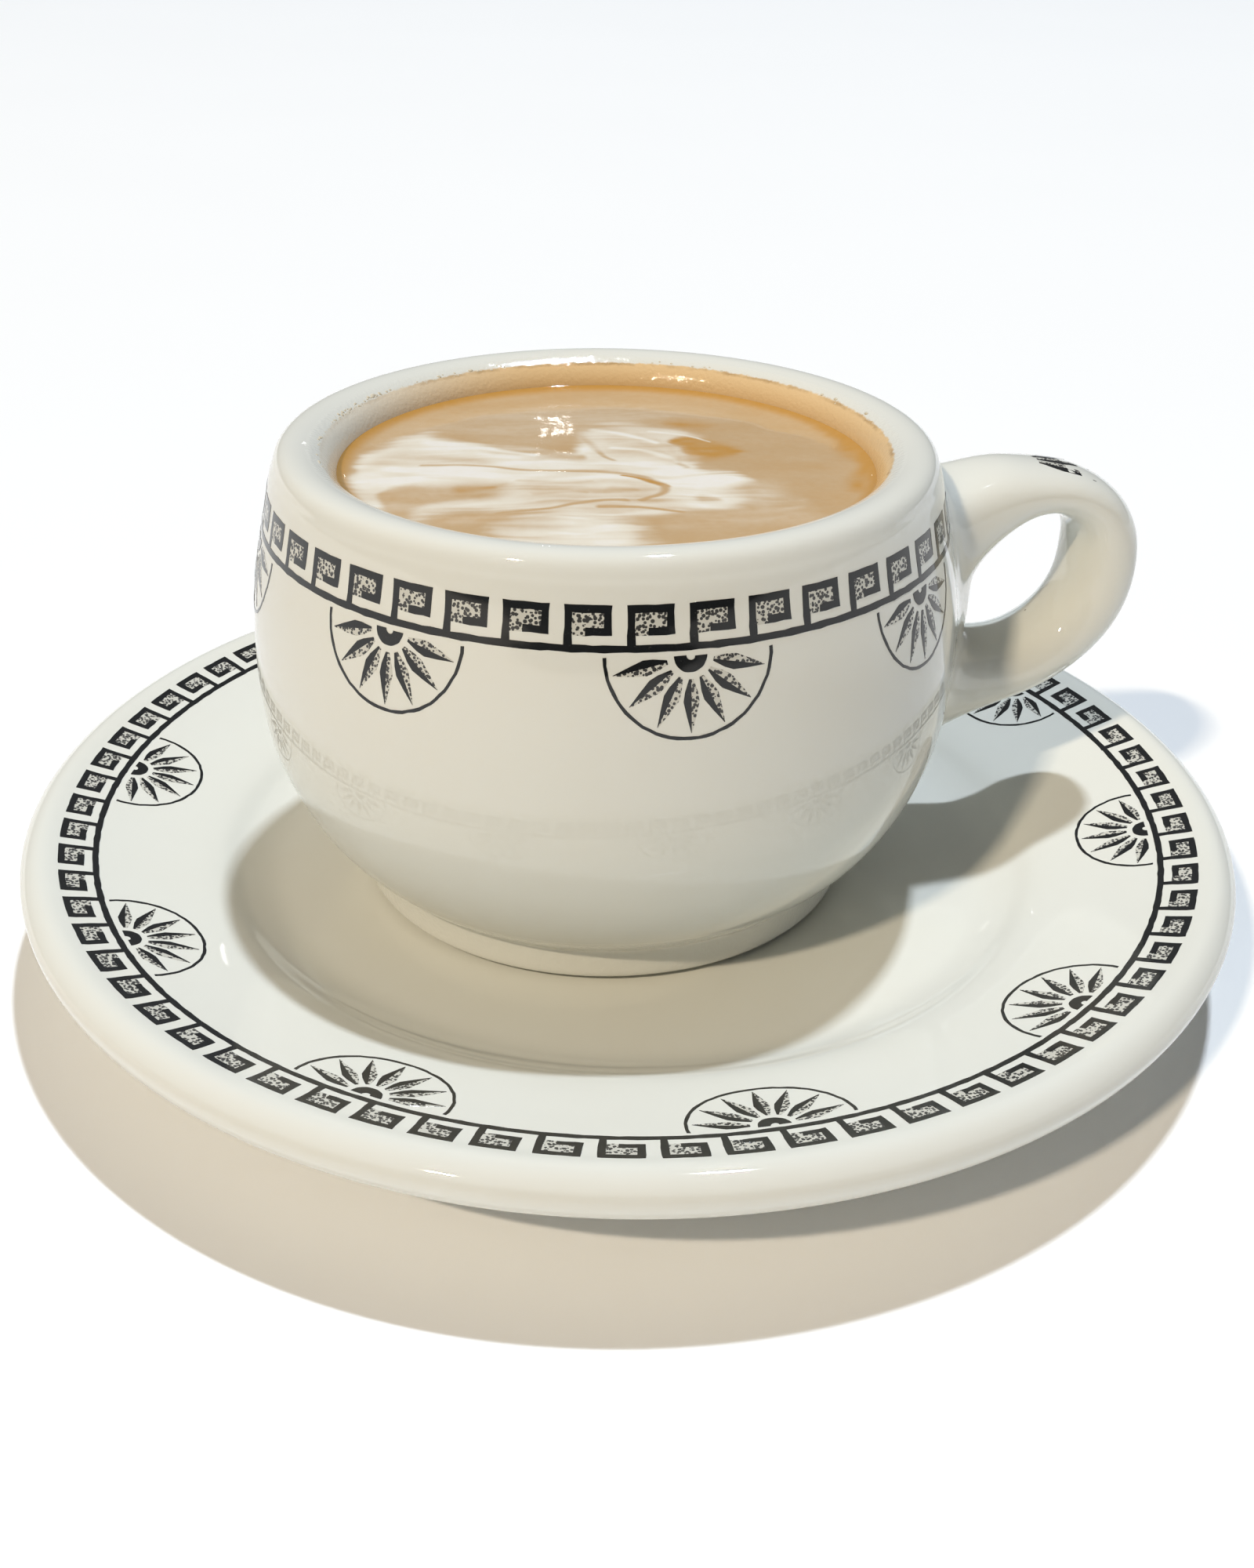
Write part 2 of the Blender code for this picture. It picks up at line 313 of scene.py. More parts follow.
def spline_section(points, spans):
    """Points along a Catmull-Rom curve through the section, spans between each two."""
    ends = [2 * np.array(points[0]) - points[1], 2 * np.array(points[-1]) - points[-2]]
    path = np.array([ends[0], *points, ends[1]])
    made = []
    for before, start, end, after in zip(path, path[1:], path[2:], path[3:]):
        leave = (end - before) * np.linalg.norm(end - start) / np.linalg.norm(end - before)
        arrive = (after - start) * np.linalg.norm(end - start) / np.linalg.norm(after - start)
        for t in np.arange(spans) / spans:
            made.append(
                (2 * t**3 - 3 * t**2 + 1) * start
                + (t**3 - 2 * t**2 + t) * leave
                + (3 * t**2 - 2 * t**3) * end
                + (t**3 - t**2) * arrive
            )
    return np.array([*made, path[-2]])


def cup_limit_section(first, last, spans=24):
    """The smooth section that the subdivided cup has, from one row of its cage to another."""
    cage = np.array(subdivision_cage(CUP_INSIDE + CUP_LIP + CUP_OUTSIDE + CUP_FOOT, CUP_COLUMNS))
    cage[:, 0] *= ring_share(CUP_COLUMNS)
    made = []
    for i in range(first, last):
        for t in np.arange(spans) / spans:
            made.append(
                (1 - t) ** 3 / 6 * cage[i - 1]
                + (3 * t**3 - 6 * t**2 + 4) / 6 * cage[i]
                + (-3 * t**3 + 3 * t**2 + 3 * t + 1) / 6 * cage[i + 1]
                + t**3 / 6 * cage[i + 2]
            )
    return np.array(made)


def principled(name, roughness=GLAZE_ROUGHNESS, ior=GLAZE_IOR):
    """A new material, its node tree and its shader."""
    material = bpy.data.materials.new(name)
    material.use_nodes = True
    shader = material.node_tree.nodes["Principled BSDF"]
    shader.inputs["Roughness"].default_value = roughness
    shader.inputs["IOR"].default_value = ior
    return material, material.node_tree, shader


def node(tree, kind, inputs=None, **settings):
    """Adds a shader node. An input given as a socket is linked, any other is its value."""
    made = tree.nodes.new("ShaderNode" + kind)
    for key, value in settings.items():
        setattr(made, key, value)
    for key, value in (inputs or {}).items():
        if isinstance(value, bpy.types.NodeSocket):
            tree.links.new(value, made.inputs[key])
        else:
            made.inputs[key].default_value = value
    return made


def noise(tree, place, scale, detail=2.0):
    """Noise between 0 and 1; the scale is in cells for each metre."""
    inputs = {"Vector": place, "Scale": scale, "Detail": detail}
    return node(tree, "TexNoise", inputs).outputs["Fac"]


def step_up(tree, value, start, end, low=0.0, high=1.0):
    """From low at the start to high at the end, smooth between and level beyond."""
    inputs = {"Value": value, "From Min": start, "From Max": end, "To Min": low, "To Max": high}
    return node(tree, "MapRange", inputs, interpolation_type="SMOOTHSTEP").outputs["Result"]


def step_down(tree, value, start, end):
    return maths(tree, "SUBTRACT", 1.0, step_up(tree, value, start, end))


def maths(tree, operation, first, second):
    return node(tree, "Math", {0: first, 1: second}, operation=operation).outputs[0]


def times(tree, first, second):
    return maths(tree, "MULTIPLY", first, second)


def reach_along(tree, place, direction):
    """How far a place lies in a direction."""
    inputs = {0: place, 1: direction}
    return node(tree, "VectorMath", inputs, operation="DOT_PRODUCT").outputs["Value"]


def blend_colour(tree, share, first, second):
    """The first colour where share is 0 and the second where it is 1."""
    inputs = {0: share, 6: first, 7: second}
    return node(tree, "Mix", inputs, data_type="RGBA").outputs[2]


def object_place(tree):
    return node(tree, "TexCoord").outputs["Object"]


def bump(tree, height, distance):
    """A bump whose height runs from 0 to the distance in metres."""
    return node(tree, "Bump", {"Height": height, "Distance": distance}).outputs["Normal"]


def glaze_height(tree, place):
    """The slow unevenness of a thick glaze with a trace of fine ripple."""
    fine = times(tree, noise(tree, place, GLAZE_RIPPLE_SCALE, 1.0), GLAZE_RIPPLE)
    return maths(tree, "ADD", noise(tree, place, GLAZE_WAVE_SCALE, 1.0), fine)


def glaze_waves(tree, place):
    return bump(tree, glaze_height(tree, place), GLAZE_WAVE)


def glaze_colour(tree, place):
    """Ivory with slow clouds and a few dark specks."""
    clouds = noise(tree, place, GLAZE_CLOUD_SCALE, 3.0)
    colour = blend_colour(tree, clouds, GLAZE_WARM, GLAZE_COOL)
    cells = node(tree, "TexVoronoi", {"Vector": place, "Scale": SPECK_SCALE})
    near = step_down(tree, cells.outputs["Distance"], *SPECK_EDGE)
    chosen = node(tree, "SeparateColor", {"Color": cells.outputs["Color"]}).outputs["Red"]
    speck = times(tree, near, step_up(tree, chosen, *SPECK_CELLS))
    return blend_colour(tree, times(tree, speck, SPECK_STRENGTH), colour, SPECK)


def connect(tree, shader, colour, normal):
    tree.links.new(colour, shader.inputs["Base Color"])
    tree.links.new(normal, shader.inputs["Normal"])


def plain_glaze():
    material, tree, shader = principled("ivory_glaze")
    place = object_place(tree)
    connect(tree, shader, glaze_colour(tree, place), glaze_waves(tree, place))
    return material


def cup_glaze():
    """The same glaze with a film of the drink on the inner wall and a dry line above it."""
    material, tree, shader = principled("ivory_glaze_with_drink_line")
    place = object_place(tree)
    height = node(tree, "SeparateXYZ", {"Vector": place}).outputs["Z"]
    flat = node(tree, "VectorMath", {0: place, 1: (1.0, 1.0, 0.0)}, operation="MULTIPLY").outputs[0]
    radius = node(tree, "VectorMath", {0: flat}, operation="LENGTH").outputs["Value"]
    inner = step_down(tree, radius, *INNER_EDGE)
    ragged = maths(tree, "SUBTRACT", noise(tree, place, RAGGED_SCALE, 4.0), 0.5)
    level = maths(tree, "ADD", height, times(tree, ragged, RAGGED_HEIGHT))
    below = step_down(tree, level, *FILM_TOP)
    side = step_up(tree, reach_along(tree, flat, FILM_SIDE), *FILM_SIDES, *FILM_SHARES)
    film = times(tree, below, step_up(tree, height, *FILM_BOTTOM))
    film = times(tree, times(tree, film, inner), side)
    line = times(tree, below, step_up(tree, level, *LINE_BOTTOM))
    patches = step_up(tree, noise(tree, place, LINE_SCALE, 4.0), *LINE_PATCHES)
    line = times(tree, times(tree, line, patches), inner)
    line = times(tree, line, times(tree, side, LINE_STRENGTH))
    colour = blend_colour(tree, film, glaze_colour(tree, place), FILM)
    colour = blend_colour(tree, line, colour, DRY_LINE)
    drops = times(tree, noise(tree, place, DROP_SCALE, 3.0), DROP_HEIGHT)
    waves = maths(tree, "ADD", glaze_height(tree, place), times(tree, drops, inner))
    connect(tree, shader, colour, bump(tree, waves, GLAZE_WAVE))
    return material


def ink_material():
    """Black print under the glaze, a little thin in places."""
    material, tree, shader = principled("underglaze_black")
    place = object_place(tree)
    thin = step_up(tree, noise(tree, place, THIN_INK_SCALE, 4.0), *THIN_INK_CELLS)
    colour = blend_colour(tree, times(tree, thin, THIN_INK_STRENGTH), INK, THIN_INK)
    connect(tree, shader, colour, glaze_waves(tree, place))
    return material


def stipple_material():
    """Fine black dots of uneven size on the ivory."""
    material, tree, shader = principled("underglaze_stipple")
    place = object_place(tree)
    cells = node(tree, "TexVoronoi", {"Vector": place, "Scale": STIPPLE_SCALE})
    size = node(tree, "SeparateColor", {"Color": cells.outputs["Color"]}).outputs["Red"]
    smallest, largest = STIPPLE_SIZES
    inputs = {"Value": size, "To Min": smallest, "To Max": largest}
    reach = node(tree, "MapRange", inputs).outputs["Result"]
    dots = maths(tree, "LESS_THAN", cells.outputs["Distance"], reach)
    colour = blend_colour(tree, dots, STIPPLE_GROUND, STIPPLE_DOT)
    connect(tree, shader, colour, glaze_waves(tree, place))
    return material


def drink_material():
    """Milky coffee: the foam and crema shares stored on the mesh, broken up by fine noise."""
    material, tree, shader = principled("milky_coffee", DRINK_ROUGHNESS, DRINK_IOR)
    shader.inputs["Specular IOR Level"].default_value = DRINK_SPECULAR
    place = object_place(tree)
    foam = node(tree, "Attribute", attribute_name="foam").outputs["Fac"]
    crema = node(tree, "Attribute", attribute_name="crema").outputs["Fac"]
    grain = maths(tree, "SUBTRACT", noise(tree, place, GRAIN_SCALE, 3.0), 0.5)
    foam = maths(tree, "ADD", foam, times(tree, grain, GRAIN_STRENGTH))
    mottled = times(tree, noise(tree, place, MOTTLE_SCALE, 3.0), MOTTLE_STRENGTH)
    base = blend_colour(tree, crema, COFFEE, CREMA)
    base = blend_colour(tree, mottled, base, CREMA)
    colour = blend_colour(tree, step_up(tree, foam, *FOAM_RANGE), base, FOAM)
    colour = blend_colour(tree, step_up(tree, foam, *MILK_RANGE), colour, MILK)
    bubbles = noise(tree, place, BUBBLE_SCALE)
    connect(tree, shader, colour, bump(tree, bubbles, BUBBLE_HEIGHT))
    return material


def residue_material():
    """Dried foam: cream beads with darker joints."""
    material, tree, shader = principled("dried_foam", RESIDUE_ROUGHNESS, RESIDUE_IOR)
    patches = noise(tree, object_place(tree), RESIDUE_SCALE, 3.0)
    colour = blend_colour(tree, patches, RESIDUE_DARK, RESIDUE_PALE)
    connect(tree, shader, colour, bump(tree, patches, RESIDUE_BUMP))
    return material


def floor_material():
    material, tree, shader = principled("pale_floor", FLOOR_ROUGHNESS, FLOOR_IOR)
    clouds = noise(tree, object_place(tree), FLOOR_SCALE)
    colour = blend_colour(tree, clouds, FLOOR_GREY, FLOOR_WHITE)
    tree.links.new(colour, shader.inputs["Base Color"])
    return material


def add_piece(name, mesh, material, location):
    """Links the mesh as a smooth piece that rides on the body."""
    mesh.materials.append(material)
    mesh.shade_smooth()
    piece = bpy.data.objects.new(name, mesh)
    piece.location = [MM * c for c in location]
    bpy.context.scene.collection.objects.link(piece)
    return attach(piece, BODY)


def turned_mesh(name, section, steps):
    """A closed mesh turned from a section that starts and ends on the axis."""
    rings = section[1:-1]
    angles = np.arange(steps) * 2 * math.pi / steps
    radii = rings[:, 0][:, None]
    heights = np.repeat(rings[:, 1][:, None], steps, axis=1)
    grid = np.stack([radii * np.cos(angles), radii * np.sin(angles), heights], axis=2)
    verts = np.concatenate([grid.reshape(-1, 3), [[0, 0, section[0][1]], [0, 0, section[-1][1]]]])
    top, bottom = len(verts) - 2, len(verts) - 1
    last = (len(rings) - 1) * steps
    faces = []
    for j in range(steps):
        k = (j + 1) % steps
        faces.append((top, j, k))
        faces.append((bottom, last + k, last + j))
    for i in range(len(rings) - 1):
        here, below = i * steps, (i + 1) * steps
        for j in range(steps):
            k = (j + 1) % steps
            faces.append((here + j, below + j, below + k, here + k))
    mesh = bpy.data.meshes.new(name)
    mesh.from_pydata((verts * MM).tolist(), [], faces)
    return mesh


def build_saucer(glaze):
    section = spline_section(SAUCER_SECTION, SAUCER_SPANS)
    section[:, 0] = np.clip(section[:, 0], 0.0, SAUCER_RADIUS)
    section[:, 1] = np.maximum(section[:, 1], -SAUCER_FLOOR_Z)
    mesh = turned_mesh("saucer_glazed", section, SAUCER_STEPS)
    piece = add_piece("saucer_glazed", mesh, glaze, SAUCER_PLACE)
    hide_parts("saucer")


def root_faces(cage, heights):
    """The four faces of the belly's cage at the handle, between two heights."""
    low, high = (h * MM for h in heights)
    half_width = math.radians(360 / CUP_COLUMNS)
    found = []
    for face in cage.faces:
        middle = face.calc_center_median()
        radius = math.hypot(middle.x, middle.y)
        aside = abs(math.atan2(middle.y, middle.x))
        if low < middle.z < high and aside < half_width and radius > BELLY_RADIUS * MM:
            found.append(face)
    return found


def number_root(cage, faces):
    """Marks each corner of a root patch with its side (-1, 0, 1) and its level (-1, 0, 1)."""
    side, level = cage.verts.layers.int["side"], cage.verts.layers.int["level"]
    corners = {v for face in faces for v in face.verts}
    heights = sorted({round(v.co.z, 6) for v in corners})
    for v in corners:
        v[side] = 0 if abs(v.co.y) < MIDDLE_REACH * MM else int(math.copysign(1, v.co.y))
        v[level] = heights.index(round(v.co.z, 6)) - 1


def grow_handle(cage):
    """Extrudes the upper root through the handle's sections and bridges it to the lower root."""
    side = cage.verts.layers.int.new("side")
    level = cage.verts.layers.int.new("level")
    tip, landing = root_faces(cage, UPPER_ROOT), root_faces(cage, LOWER_ROOT)
    number_root(cage, tip)
    for distance, height, outward, thickness, width in HANDLE_SECTIONS:
        grown = bmesh.ops.extrude_face_region(cage, geom=tip)["geom"]
        bmesh.ops.delete(cage, geom=tip, context="FACES")
        tip = [g for g in grown if isinstance(g, bmesh.types.BMFace)]
        out = math.radians(outward)
        for v in {v for face in tip for v in face.verts}:
            share = CORNER_SHARE if v[side] and v[level] else 1.0
            reach = share * thickness / RING_SHRINK * v[level]
            aside = share * width / RING_SHRINK * v[side]
            x, z = distance + reach * math.cos(out), height + reach * math.sin(out)
            v.co = MM * Vector((x, aside, z))
    rims = []
    for faces in (tip, landing):
        edges = [e for face in faces for e in face.edges]
        rims.extend(e for e in edges if edges.count(e) == 1)
    bmesh.ops.delete(cage, geom=tip + landing, context="FACES")
    bmesh.ops.bridge_loops(cage, edges=[e for e in rims if e.is_valid])


def raise_web(cage):
    """Draws the belly out between the roots, so that the handle's gap has a rounded back."""
    column = math.radians(360 / CUP_COLUMNS)
    for v in cage.verts:
        radius = math.hypot(v.co.x, v.co.y)
        aside = abs(math.atan2(v.co.y, v.co.x))
        if not BELLY_RADIUS * MM <= radius < BELLY_LIMIT * MM or aside > 1.5 * column:
            continue
        for height, stand in WEB_ROWS:
            if abs(v.co.z - height * MM) < WEB_HEIGHT_REACH * MM:
                share = 1.0 if aside < 0.5 * column else WEB_SIDE_SHARE
                v.co.x += stand * share * MM


def build_cup(glaze):
    """The turned body and the handle as one cage, subdivided far enough to look smooth."""
    section = subdivision_cage(CUP_INSIDE + CUP_LIP + CUP_OUTSIDE + CUP_FOOT, CUP_COLUMNS)
    cage = bmesh.new()
    line = [cage.verts.new((radius * MM, 0.0, height * MM)) for radius, height in section]
    edges = [cage.edges.new(pair) for pair in zip(line, line[1:])]
    bmesh.ops.spin(
        cage,
        geom=line + edges,
        cent=(0, 0, 0),
        axis=(0, 0, 1),
        angle=2 * math.pi,
        steps=CUP_COLUMNS,
        use_merge=True,
    )
    bmesh.ops.remove_doubles(cage, verts=cage.verts, dist=0.00001)
    raise_web(cage)
    grow_handle(cage)
    bmesh.ops.recalc_face_normals(cage, faces=cage.faces)
    mesh = bpy.data.meshes.new("cup_glazed")
    cage.to_mesh(mesh)
    cage.free()
    piece = add_piece("cup_glazed", mesh, glaze, CUP_PLACE)
    surface = piece.modifiers.new("Surface", "SUBSURF")
    surface.levels = CUP_LEVELS
    surface.render_levels = CUP_LEVELS
    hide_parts("cup")
    return piece


class Wall:
    """A turned surface that print is laid on, by angle and by distance along its section."""

    def __init__(self, section):
        steps = np.diff(section, axis=0)
        lengths = np.hypot(steps[:, 0], steps[:, 1])
        self.along = np.concatenate([[0.0], np.cumsum(lengths)])
        self.section = section
        slopes = np.gradient(section, self.along, axis=0)
        self.normals = np.stack([-slopes[:, 1], slopes[:, 0]], axis=1)
        self.normals *= math.copysign(1.0, self.normals.sum())

    def radius(self, along):
        return float(np.interp(along, self.along, self.section[:, 0]))

    def place(self, angle, along, lift):
        """The point lift above the surface, and the surface's normal there."""
        radius, height = (np.interp(along, self.along, self.section[:, c]) for c in (0, 1))
        out, up = (np.interp(along, self.along, self.normals[:, c]) for c in (0, 1))
        radius, height = radius + out * lift, height + up * lift
        turn = np.array([math.cos(angle), math.sin(angle)])
        return np.array([*(turn * radius), height]), np.array([*(turn * out), up])


def cup_wall():
    """The cup's outer wall from the top of its border down."""
    first = len(CUP_INSIDE) + len(CUP_LIP) - 2
    section = cup_limit_section(first, first + CUP_BAND_ROWS)
    return Wall(section[section[:, 1] <= CUP_BAND_TOP])


def saucer_wall():
    """The saucer's face from the outer edge of its border inwards."""
    section = spline_section(SAUCER_SECTION, SAUCER_SPANS)[: SAUCER_FACE_END * SAUCER_SPANS][::-1]
    return Wall(section[section[:, 0] <= SAUCER_BAND_TOP])


def wobbled(u, v):
    """Moves a point of the print a little, by slow waves, so that its edges look drawn."""
    du = sum(math.sin(a * u + b * v) for a, b in WOBBLE_WAVES_U)
    dv = sum(math.sin(a * u + b * v) for a, b in WOBBLE_WAVES_V)
    return u + WOBBLE * du, v + WOBBLE * dv


class Inlay:
    """Thin closed tiles of one colour of print, joined where they meet."""

    def __init__(self, lift):
        self.lift = lift
        self.verts = []
        self.normals = []
        self.faces = []

    def add(self, cells, place):
        """Covers the cells (i, j); place(i, j, lift) gives a lattice corner and its normal."""
        index = {}

        def corner(i, j, lift):
            key = (i, j, lift)
            if key not in index:
                point, normal = place(i, j, lift)
                index[key] = len(self.verts)
                self.verts.append(point)
                self.normals.append(normal)
            return index[key]

        for i, j in cells:
            ring = [(i, j), (i + 1, j), (i + 1, j + 1), (i, j + 1)]
            high = [corner(a, b, self.lift) for a, b in ring]
            low = [corner(a, b, -PRINT_DEPTH) for a, b in ring]
            self.faces.append(high)
            self.faces.append(low[::-1])
            beside = [(i, j - 1), (i + 1, j), (i, j + 1), (i - 1, j)]
            for side, other in enumerate(beside):
                if other not in cells:
                    end = (side + 1) % 4
                    self.faces.append((high[end], high[side], low[side], low[end]))

    def build(self, name, material, location):
        mesh = bpy.data.meshes.new(name)
        mesh.from_pydata((np.array(self.verts) * MM).tolist(), [], self.faces)
        piece = add_piece(name, mesh, material, location)
        shape = bmesh.new()
        shape.from_mesh(mesh)
        bmesh.ops.recalc_face_normals(shape, faces=shape.faces)
        shape.to_mesh(mesh)
        shape.free()
        mesh.normals_split_custom_set_from_vertices([tuple(n) for n in self.normals])


def pattern_cells(rows, mark, columns, keep):
    """The cells of a mark in a pattern repeated along the columns that keep allows."""
    height, width = len(rows), len(rows[0])
    return {
        (i, j)
        for i in range(columns)
        for j in range(height)
        if keep(i // width) and rows[height - 1 - j][i % width] == mark
    }


def lay_band(inlays, wall, keys, keep):
    """The running key round the wall, top row first along the section. Returns its height."""
    width = len(KEY_WIDTHS)
    columns = np.concatenate([[0.0], np.cumsum(KEY_WIDTHS)]) / sum(KEY_WIDTHS)
    rows = sum(KEY_HEIGHTS) - np.concatenate([[0.0], np.cumsum(KEY_HEIGHTS)])
    key_turn = 2 * math.pi / keys
    key_width = key_turn * wall.radius(0.0)

    def place(i, j, lift):
        key = i // width + columns[i % width]
        u, v = wobbled(key * key_width, rows[j])
        return wall.place(u / key_width * key_turn, v, lift)

    for mark, inlay in inlays.items():
        inlay.add(pattern_cells(KEY_ROWS, mark, keys * width, keep), place)
    return rows[0]


def lay_ring(inlay, radius, shares, put):
    """A half ring between two shares of the radius."""

    def place(i, j, lift):
        angle = math.pi * i / FAN_ARC_STEPS
        reach = radius * shares[j]
        return put(*wobbled(-reach * math.cos(angle), reach * math.sin(angle)), lift)

    inlay.add({(i, 0) for i in range(FAN_ARC_STEPS)}, place)


def lay_ray(inlay, radius, angle, side, put):
    """One half of a ray, to one side of its middle line."""

    def place(i, j, lift):
        reach, half = (radius * share for share in FAN_RAY_ROWS[i])
        aside = side * half * j
        u = -reach * math.cos(angle) + aside * math.sin(angle)
        v = reach * math.sin(angle) + aside * math.cos(angle)
        return put(u, v, lift)

    inlay.add({(i, 0) for i in range(len(FAN_RAY_ROWS) - 1)}, place)


def lay_fan(inlays, radius, put):
    """A half sun; put(u, v, lift) places a point beside and below its middle."""
    lay_ring(inlays["#"], radius, FAN_CORE, put)
    lay_ring(inlays["#"], radius, FAN_ARC, put)
    for ray in range(FAN_RAYS):
        angle = math.pi * (ray + 0.5) / FAN_RAYS
        lay_ray(inlays["#"], radius, angle, -1, put)
        lay_ray(inlays["o"], radius, angle, 1, put)


def lay_border(wall, keys, keep, fan_angles, fan_radius):
    """Key band and fans on one wall, in black and stipple."""
    inlays = {"#": Inlay(PRINT_LIFT), "o": Inlay(STIPPLE_LIFT)}
    below = lay_band(inlays, wall, keys, keep) + FAN_GAP
    for middle in fan_angles:

        def put(u, v, lift):
            return wall.place(middle + u / wall.radius(below + v), below + v, lift)

        lay_fan(inlays, fan_radius, put)
    return inlays


def print_cup(ink, stipple):
    """The cup's border, which stops on both sides of the handle."""
    key_turn = 360 / CUP_BAND_KEYS

    def keep(key):
        angle = (key + 0.5) * key_turn
        return CUP_BAND_BREAK < angle < 360 - CUP_BAND_BREAK

    fans = [2 * math.pi * k / CUP_FANS for k in range(1, CUP_FANS)]
    inlays = lay_border(cup_wall(), CUP_BAND_KEYS, keep, fans, CUP_FAN_RADIUS)
    inlays["#"].build("cup_print_black", ink, CUP_PLACE)
    inlays["o"].build("cup_print_stipple", stipple, CUP_PLACE)


def print_saucer(ink, stipple):
    fans = [2 * math.pi * (k + 0.5) / SAUCER_FANS for k in range(SAUCER_FANS)]
    inlays = lay_border(saucer_wall(), SAUCER_BAND_KEYS, lambda key: True, fans, SAUCER_FAN_RADIUS)
    inlays["#"].build("saucer_print_black", ink, SAUCER_PLACE)
    inlays["o"].build("saucer_print_stipple", stipple, SAUCER_PLACE)


def print_handle(cup, ink, stipple):
    """A few rays on top of the handle, dropped onto its surface."""
    surface = BVHTree.FromObject(cup, bpy.context.evaluated_depsgraph_get())
    inlays = {"#": Inlay(PRINT_LIFT), "o": Inlay(STIPPLE_LIFT)}

    def put(u, v, lift):
        start = Vector((HANDLE_RAY_START + v, u, HANDLE_PRINT_TOP)) * MM
        point, normal, _, _ = surface.ray_cast(start, Vector((0, 0, -1)))
        return np.array(point / MM + normal * lift), np.array(normal)

    for turn in HANDLE_RAY_TURNS:
        lay_ray(inlays["#"], HANDLE_RAY_LENGTH, math.radians(turn), -1, put)
        lay_ray(inlays["o"], HANDLE_RAY_LENGTH, math.radians(turn), 1, put)
    inlays["#"].build("handle_print_black", ink, CUP_PLACE)
    inlays["o"].build("handle_print_stipple", stipple, CUP_PLACE)


class Clouds:
    """Smooth value noise on a plane, repeatable from its seed."""

    SIZE = 64

    def __init__(self, seed):
        self.table = np.random.default_rng(seed).random((self.SIZE, self.SIZE))

    def __call__(self, x, y):
        column, row = np.floor(x).astype(int), np.floor(y).astype(int)
        s, t = x - column, y - row
        s, t = s * s * (3 - 2 * s), t * t * (3 - 2 * t)
        column, row = column % self.SIZE, row % self.SIZE
        right, above = (column + 1) % self.SIZE, (row + 1) % self.SIZE
        low = self.table[row, column] * (1 - s) + self.table[row, right] * s
        high = self.table[above, column] * (1 - s) + self.table[above, right] * s
        return (low * (1 - t) + high * t) * 2 - 1

    def at(self, x, y, cells):
        """The noise at points, with cells of a width and a depth and a shift in cells."""
        (width, depth), (shift_x, shift_y) = cells
        return self(x / width + shift_x, y / depth + shift_y)


# The swirls are drawn on axes turned by so many degrees against the handle's.
SWIRL_TURN = 9.5

# Patches on the drink, laid one over another: the outline in that plan, how soft its
# edge is, and the foam and crema shares that it brings.
PATCHES = [
    (
        [(-27, 9), (-20, 19), (-8, 25), (8, 25), (16, 18), (3, 15), (-3, 12), (-10, 8), (-21, 14)],
        2.5, 0.24, 0.04,
    ),
    (
        [
            (-29.7, 2.1), (-27.4, 6.8), (-23.6, 11), (-21.7, 12.1), (-19.6, 9.8), (-14.1, 7.4),
            (-8, 5.8), (-3.6, 4.6), (-3.2, 8), (-2.6, 13), (-0.7, 16), (2.8, 16.7),
            (8.5, 14.4), (11.8, 12.4), (12.2, 9.5), (10.5, 5), (9.8, 1.7), (13.4, -2.5),
            (14.8, -4.8), (15.8, -8.1), (14.1, -12.3), (10.6, -14), (6, -12.5), (0, -9.5),
            (-9.6, -10), (-12, -13), (-19, -15.6), (-21.4, -18.5), (-26, -15.5),
            (-28.6, -9.9), (-30.4, -4.4),
        ],
        1.0, 0.9, 0.0,
    ),
    (
        [(-1, 15.5), (3, 16.3), (8.5, 14), (11.2, 12), (11, 9), (9.5, 2.5), (3, 3.5), (-2, 6)],
        1.4, 0.5, 0.14,
    ),
    (
        [
            (-14, -5.6), (-6, -4.4), (2, -4.4), (6.4, -7.2), (3, -10.8), (-3, -10.6),
            (-12, -10), (-20, -14), (-19, -11.5), (-14.5, -9.5),
        ],
        1.0, 0.6, 0.14,
    ),
    ([(-2, -4.9), (2, -4.3), (6.6, -7.2), (3.8, -10.2), (-2, -9.6), (-4.5, -7)], 0.7, 0.64, 0.12),
    (
        [(-15, -11.6), (-10, -10.2), (-1, -9.8), (2, -8.8), (6, -11), (8, -13.5), (2, -17), (-13, -16)],
        1.2, 0.74, 0.16,
    ),
    ([(-15, -20), (-9, -17), (-4, -16.4), (1, -17), (4, -20), (3.4, -26), (-12, -27.5)], 1.3, 0.82, 0.0),
    (
        [(9.4, -4.6), (12.7, -2.2), (15, -4.2), (17.4, -8.2), (16, -12), (11, -14), (8.8, -9.8)],
        0.7, 1.0, 0.0,
    ),
    (
        [
            (-25, -6), (-19.3, -5.9), (-12, -4), (-10.9, -5.8), (-13.4, -10), (-17.9, -10.7),
            (-20.9, -12.3), (-22, -18), (-26, -15), (-25.7, -10.6),
        ],
        0.8, 0.26, 0.2,
    ),
    (
        [(-19.5, -16.8), (-15, -15.6), (-9.6, -14.7), (-12, -17.2), (-15, -18.8), (-19, -18.8)],
        0.8, 0.28, 0.45,
    ),
    (
        [(7.6, 10.2), (10, 11.9), (13.4, 10.2), (16.6, 7), (14.6, 4), (11.4, 2.6), (8.4, 4.8)],
        0.9, 0.0, 0.9,
    ),
    ([(7.6, 16), (10.5, 18), (14.6, 15.8), (12.3, 13.6)], 0.9, 0.02, 0.85),
]

